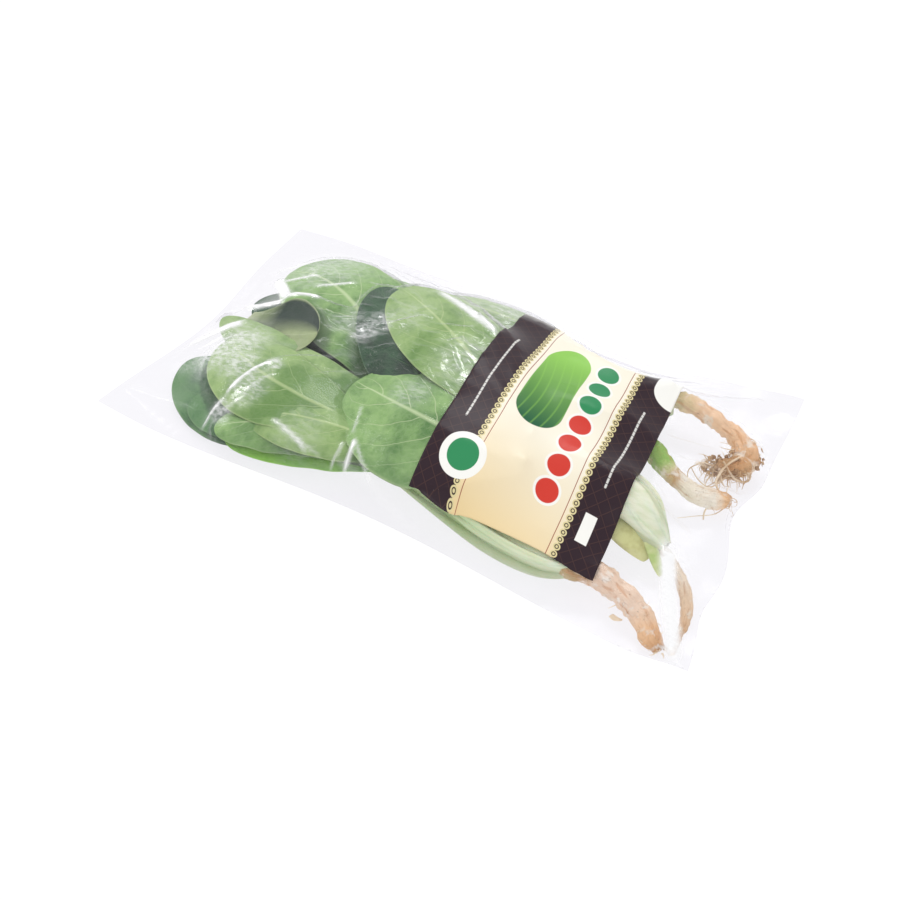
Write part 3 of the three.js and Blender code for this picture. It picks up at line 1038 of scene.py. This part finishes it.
def leafMaterial(name):
    look = dict(zip(lookKeys, leafLooks[name]))
    stuff, tree, shader = newMaterial("leaf_" + name)
    spot = coordinates(tree)
    along, cross, _ = axesOf(coordinates(tree, "UV"))
    t = 1 - (1 - along) ** leafShape["tipEase"]
    side = cross * 2 - 1
    across = side.maths("ABSOLUTE")
    wander = noiseAt(spot, 60.0, 3.0)
    # side veins, fading towards the rim and thinner away from the midrib
    beat = (t - across ** 1.3 * leafShape["veinSweep"] + (wander - 0.5) * 0.06) * leafShape["veinPairs"]
    beat = beat + side.maths("LESS_THAN", 0) * 0.5
    gap = (beat.maths("FRACT") - 0.5).maths("ABSOLUTE")
    vein = 1 - gap.maths("SMOOTH_MIN", 0.034, 0.012) / 0.034
    vein = vein.clamp() * (1 - across * 0.7)
    rib = (1 - across / ((1 - t) * 0.07 + 0.016)).clamp() ** 0.6
    # a fine net between the veins
    net = addNode(tree, "ShaderNodeTexVoronoi", {"feature": "DISTANCE_TO_EDGE"},
                  {"Vector": spot, "Scale": 300.0})
    netMask = (1 - net * 6).clamp() * 0.10
    pale = vein.maths("MAXIMUM", rib).maths("MAXIMUM", netMask) * look["veinShow"]
    pale = pale.maths("MAXIMUM", (1 - t * 5).clamp() * 0.8)
    rim = ((across - 0.95) * 22).clamp() * 0.4
    blotch = noiseAt(spot, 42.0, 5.0, 0.6)
    # darker blotches at random, and darker towards the stalk end: painted shade
    patch = ((blotch - 0.41) * 4 + (0.60 - t) * 1.7 * (1 - across * 0.4)).clamp()
    mottle = noiseAt(spot, 190.0, 3.0)
    ground = mix(patch, look["blade"], look["blotch"])
    ground = mix(((mottle - 0.5) * 3).clamp() * 0.6, ground, look["blotch"])
    colour = mix(pale.maths("MAXIMUM", rim), ground, look["vein"])
    if "shade" in look:  # painted shade in the hollow along one side
        deep = ((cross - 0.54) * 4.5).clamp() * ((t - 0.25) * 5).clamp()
        deep = deep * (1 - ((across - 0.93) * 16).clamp())
        colour = mix(deep * 0.95, colour, look["shade"])
    # painted shade in the gaps below other leaves, on all leaves but the bright one
    if name != "bright":
        colour = paintGapShade(colour, "#22402c")
    relief = blotch * 0.6 + mottle * 0.5 + netMask * -1.2 - vein * 0.5
    setInputs(tree, shader, {"Base Color": colour, "Roughness": 0.42 + blotch * 0.2,
                             "Specular IOR Level": 0.22, "Normal": bumpFrom(relief, 0.5, 0.9 * mm)})
    return stuff


# deep is the colour of the painted shade where a stalk lies deep below its neighbours
stalkLook = dict(stalk="#b3cc8f", bulb="#eceed5", streak="#b4c982", deep="#7d9455")


def stalkMaterial():
    stuff, tree, shader = newMaterial("stalk")
    spot = coordinates(tree)
    streak = noiseAt(stretch(spot, (22, 330, 330)), 1.0, 4.0)
    x = axesOf(spot)[0] + (noiseAt(spot, 45.0, 3.0) - 0.5) * 0.03
    pale = addNode(tree, "ShaderNodeMapRange", {"interpolation_type": "SMOOTHSTEP"},
                   {0: x, 1: 0.02, 2: 0.145, 3: 0.0, 4: 1.0})
    colour = mix(pale, stalkLook["stalk"], stalkLook["bulb"])
    colour = mix(((streak - 0.42) * 3).clamp() * 0.5, colour, stalkLook["streak"])
    setInputs(tree, shader, {"Base Color": paintGapShade(colour, stalkLook["deep"]), "Roughness": 0.38,
                             "Subsurface Weight": 0.15, "Subsurface Scale": 3 * mm,
                             "Normal": bumpFrom(streak, 0.3, 0.5 * mm)})
    return stuff


rootLooks = {  # colours along the root, then fibres, flakes, dirt and how much of it
    "bark": dict(along=[(0.0, "#cfd09c"), (0.14, "#e2cf9f"), (0.24, "#ffd9b4"), (0.5, "#fdcfa4"),
                        (0.66, "#dbab7b"), (1.0, "#b58d62")],
                 fibre="#cf8c52", flake="#fdf0e0", dirt="#7a5230", dirty=0.7),
    "neck": dict(along=[(0.0, "#90b956"), (0.28, "#98c05e"), (0.38, "#dcd8a4"), (0.45, "#cfa878"),
                        (0.54, "#fbf0da"), (0.78, "#fdf3e2"), (0.88, "#f2c493"), (1.0, "#cf9562")],
                 fibre="#d3a474", flake="#fbf4e8", dirt="#9a6c3c", dirty=0.35),
    "thin": dict(along=[(0.0, "#ecdfc4"), (0.4, "#f6e0c6"), (0.8, "#ecc298"), (1.0, "#dcae7f")],
                 fibre="#c08a5a", flake="#f6ead8", dirt="#946a40", dirty=0.45),
    "brown": dict(along=[(0.0, "#ccbd8e"), (0.2, "#bf9f74"), (0.3, "#f6d8c0"), (0.6, "#f8dcc4"),
                         (0.76, "#f5c89c"), (0.9, "#e2ae7c"), (1.0, "#b98558")],
                  fibre="#d4935e", flake="#fdf5ec", dirt="#82552e", dirty=0.5),
}


def rootMaterial(name):
    look = rootLooks[name]
    stuff, tree, shader = newMaterial("root_" + name)
    spot = coordinates(tree)
    skin = coordinates(tree, "UV")

    def grain(around, along, detail, twist):  # noise drawn out along the root
        return noiseAt(stretch(skin, (around, along, 1)), 1.0, detail, 0.6, twist)

    fibre = grain(34, 14, 6.0, 0.6)
    strip = grain(7, 9, 4.0, 0.9)
    ring = grain(3, 90, 3.0, 0.5)
    fleck = grain(30, 70, 4.0, 1.0)
    flake = noiseAt(spot, 110.0, 5.0, 0.6, 0.5)
    soilSpots = noiseAt(spot, 230.0, 6.0, 0.75)
    v = axesOf(skin)[1]
    # a cylinder's side has the upper half of its texture square
    colour = addNode(tree, "ShaderNodeValToRGB", {"stops": [(p, hexColour(c)) for p, c in look["along"]]},
                     {0: v * 2 - 1 + (flake - 0.5) * 0.2})
    layers = ((((strip - 0.55) * 10).clamp() * 0.5, look["fibre"]),
              (((fibre - 0.58) * 8).clamp() * 0.4, look["fibre"]),
              (((flake - 0.55) * 10).clamp() * 0.8, look["flake"]),
              (((0.37 - fibre) * 12).clamp() * 0.35, look["dirt"]),
              (((ring - 0.62) * 10).clamp() * 0.3, look["dirt"]),
              (((fleck - 0.62) * 14).clamp() * 0.5, look["dirt"]),
              (((soilSpots - 0.64) * 9).clamp() * look["dirty"], look["dirt"]))
    for share, code in layers:
        colour = mix(share.clamp(), colour, code)
    relief = fibre * 1.6 + strip * 1.2 + flake * 0.8 + fleck * 0.8 + soilSpots * 0.4 - ring * 0.6
    setInputs(tree, shader, {"Base Color": colour, "Roughness": 0.7, "Specular IOR Level": 0.25,
                             "Normal": bumpFrom(relief, 0.7, 1.4 * mm)})
    return stuff


plainLooks = {  # two colours and how fine their patches are
    "hair": ("#f0dfc4", "#c4a074", 70.0),
    "soil": ("#bd976a", "#8a643f", 260.0),
    "stub": ("#a9c26a", "#d9dea2", 90.0),
    "scar": ("#cfd08e", "#a9a45c", 130.0),
}


def plainMaterial(name):
    light, shade, scale = plainLooks[name]
    stuff, tree, shader = newMaterial(name)
    patch = noiseAt(coordinates(tree), scale, 4.0)
    colour = mix(((patch - 0.4) * 4).clamp(), light, shade)
    setInputs(tree, shader, {"Base Color": colour, "Roughness": 0.7})
    return stuff


leafStuff = {name: leafMaterial(name) for name in leafLooks}
for name, obj in blades.items():
    obj.data.materials.append(leafStuff[leaves[name]["look"]])
stalkStuff = stalkMaterial()
for obj in stalks.values():
    obj.data.materials.append(stalkStuff)
rootStuff = {name: rootMaterial(name) for name in rootLooks}
plainStuff = {name: plainMaterial(name) for name in plainLooks}
for name, root in roots.items():
    rootParts[name].data.materials.append(rootStuff[root["look"]])
    rootParts[name + "Hairs"].data.materials.append(plainStuff["hair"])
for obj, name in zip([soil, *scraps], ("soil", "stub", "scar", "hair")):
    obj.data.materials.append(plainStuff[name])
print("scene: leaf, stalk and root materials")


filmLook = {
    "gloss": (0.94, 0.94, 0.95, 1),  # the colour of its shine and of the painted highlights along its folds
    "clear": (0.946, 0.941, 0.959, 1),  # the tint of what is seen through it
    "roughness": 0.13,
    "metallic": 0.35,
    "mostGloss": 0.4,
    "mostVeil": 0.05,  # painted reflection, whitest where the film stands well off what is in it
    "haze": 0.12,
}


def filmMaterial():
    stuff, tree, shader = newMaterial("film")
    spot = coordinates(tree)
    standoff, crease, fog = (layerOf(tree, key) for key in ("standoff", "crease", "fog"))
    # the same gloss from both sides of the thin film
    facing = addNode(tree, "ShaderNodeLayerWeight", inputs={"Blend": 0.5}, output=1)
    paintedVeil = addNode(tree, "ShaderNodeMapRange", {"interpolation_type": "SMOOTHSTEP"},
                   {0: standoff, 1: 1.0, 2: 14.0, 3: 0.0, 4: filmLook["mostVeil"]})
    haze = noiseAt(spot, 28.0, 4.0)
    speck = noiseAt(stretch(spot, (170, 420, 300)), 1.0, 5.0, 0.7)
    grain = ((speck - 0.43) * 6).clamp()
    factor = (facing ** 5 * 0.9 + 0.04).maths("MINIMUM", filmLook["mostGloss"]) + paintedVeil
    factor = factor + ((haze - 0.5) * 0.8).clamp() * filmLook["haze"]
    # painted reflection and painted glints where it fogs, painted highlights along the folds
    factor = factor + fog * (grain * 1.1 + 0.4) + crease ** 1.4 * (grain * 0.1 + 0.62)
    relief = speck * 0.6 + noiseAt(spot, 90.0)
    setInputs(tree, shader, {"Base Color": filmLook["gloss"], "Roughness": filmLook["roughness"],
                             "Metallic": filmLook["metallic"],
                             "Normal": bumpFrom(relief, 0.25, 0.6 * mm)})
    clear = addNode(tree, "ShaderNodeBsdfTransparent", inputs={0: filmLook["clear"]})
    mixed = addNode(tree, "ShaderNodeMixShader", inputs={
        0: factor.clamp(), 1: clear, 2: Wire(shader.outputs[0])})
    tree.links.new(mixed.socket, tree.nodes["Material Output"].inputs[0])
    return stuff


ink = dict(dark="#2c1b24", line="#674638", cream="#f2ecdb", orange="#e5c684", ring="#dccf9d",
           red="#cf3a2e", green="#1f5c3c", pale="#8cc654", white="#f2f1ec", rule="#9c5a48",
           leafGreen="#2f8a58")
printLayout = {  # in millimetres from the near corner at the leaf end
    "size": (109, 156),
    "panel": (24.5, 85.5),  # between the two dark bands
    "rules": (28.3, 81.7),
    "ringStep": 4.2,
    "furrowStep": 5.5,
    "field": (31, 59, 60, 132),
    "discs": [  # x, y, radius, how soft the edge is, ink
        (21, 24, 13.2, 0.25, "white"), (21, 24, 9, 0.25, "leafGreen")],
    "block": (92, 99, 14, 30),
    "tab": (95, 115, 124, 160),
    "dashes": ((11.5, 46, 120), (96.5, 44, 112)),
}
for k in range(7):  # the row of dots, red ones first
    printLayout["discs"].append((69, 30 + 15.5 * k, 8.0, 0.4, "white"))
    printLayout["discs"].append((69, 30 + 15.5 * k, 6.6, 0.4, "red" if k < 4 else "leafGreen"))


def labelMaterial():
    stuff, tree, shader = newMaterial("label")
    s, t, _ = axesOf(coordinates(tree, "UV"))
    x, y = s * printLayout["size"][0], t * printLayout["size"][1]

    def within(value, low, high, edge=0.25):
        rise = ((value - low) / edge).clamp()
        return rise * ((value * -1 + high) / edge).clamp()

    def disc(x0, y0, radius, edge):
        return within(((x - x0) ** 2 + (y - y0) ** 2) ** 0.5, -1, radius, edge)

    def bar(x0, x1, y0, y1):  # a bar with round ends, along y
        half = (x1 - x0) / 2
        beyond = (((y - (y0 + y1) / 2).maths("ABSOLUTE") - (y1 - y0) / 2 + half).maths("MAXIMUM", 0))
        return within((beyond ** 2 + (x - (x0 + x1) / 2) ** 2) ** 0.5, -1, half, 0.4)

    panel = mix((t * -1.9 + 0.72 - (s - 0.5) * 0.35).clamp(), ink["cream"], ink["orange"])
    # a faint lattice on the two dark bands
    lattice = ((x + y) / 8).maths("FRACT") - 0.5
    other = ((x - y) / 8).maths("FRACT") - 0.5
    lattice = (lattice.maths("ABSOLUTE") * -22 + 1.2).clamp()
    lattice = lattice.maths("MAXIMUM", (other.maths("ABSOLUTE") * -22 + 1.2).clamp())
    dark = mix(lattice * 0.28, ink["dark"], ink["line"])
    layers = [(within(x, *printLayout["panel"]), panel)]
    # a chain of small rings along both dark bands
    step = printLayout["ringStep"]
    for middle in printLayout["panel"]:
        place = (y / step).maths("FRACT") * step - step / 2
        radius = (place ** 2 + (x - middle) ** 2) ** 0.5
        layers.append((within(radius, -1, 2.1), ink["ring"]))
        layers.append((within(radius, 0.6, 1.3, 0.2), ink["dark"]))
    for middle in printLayout["rules"]:
        layers.append((within(x, middle - 0.3, middle + 0.3, 0.15), ink["rule"]))
    # a green field with furrows, then discs, a block, a tab and two dashed lines
    furrow = (x + (y * 0.055).maths("SINE") * 4) / printLayout["furrowStep"]
    furrow = (furrow.maths("FRACT") - 0.5).maths("ABSOLUTE")
    shade = mix(((y - 62) / 62).clamp(), ink["green"], ink["pale"])
    field = mix(((furrow - 0.36) * 9).clamp() * 0.35, shade, ink["pale"])
    layers.append((bar(*printLayout["field"]), field))
    for x0, y0, radius, edge, key in printLayout["discs"]:
        layers.append((disc(x0, y0, radius, edge), ink[key]))
    x0, x1, y0, y1 = printLayout["block"]
    layers.append((within(x, x0, x1) * within(y, y0, y1), ink["white"]))
    layers.append((bar(*printLayout["tab"]), ink["white"]))
    dash = ((y / 3.1).maths("FRACT") - 0.12).maths("GREATER_THAN", 0)
    for middle, y0, y1 in printLayout["dashes"]:
        layers.append((bar(middle - 0.8, middle + 0.8, y0, y1) * dash * 0.75, ink["white"]))
    # painted highlight: the print turns white and hazy where it turns down the far side
    glareBreakup = noiseAt(coordinates(tree), 60.0, 4.0)
    layers.append((((t - 0.955 + (glareBreakup - 0.5) * 0.10) * 22).clamp() * 0.5, ink["white"]))
    colour = dark
    for mask, above in layers:
        colour = mix(mask, colour, above)
    setInputs(tree, shader, {"Base Color": colour, "Roughness": 0.35, "Specular IOR Level": 0.2,
                             "Coat Weight": 0.06, "Coat Roughness": 0.12})
    return stuff


film.data.materials.append(filmMaterial())
film.visible_shadow = False
film.visible_diffuse = False
label.data.materials.append(labelMaterial())
print("scene: film and label materials")


for obj in [*blades.values(), *stalks.values(), *rootParts.values(), soil, *scraps, film, label]:
    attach(obj, "root")
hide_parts("bag")
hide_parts("label")
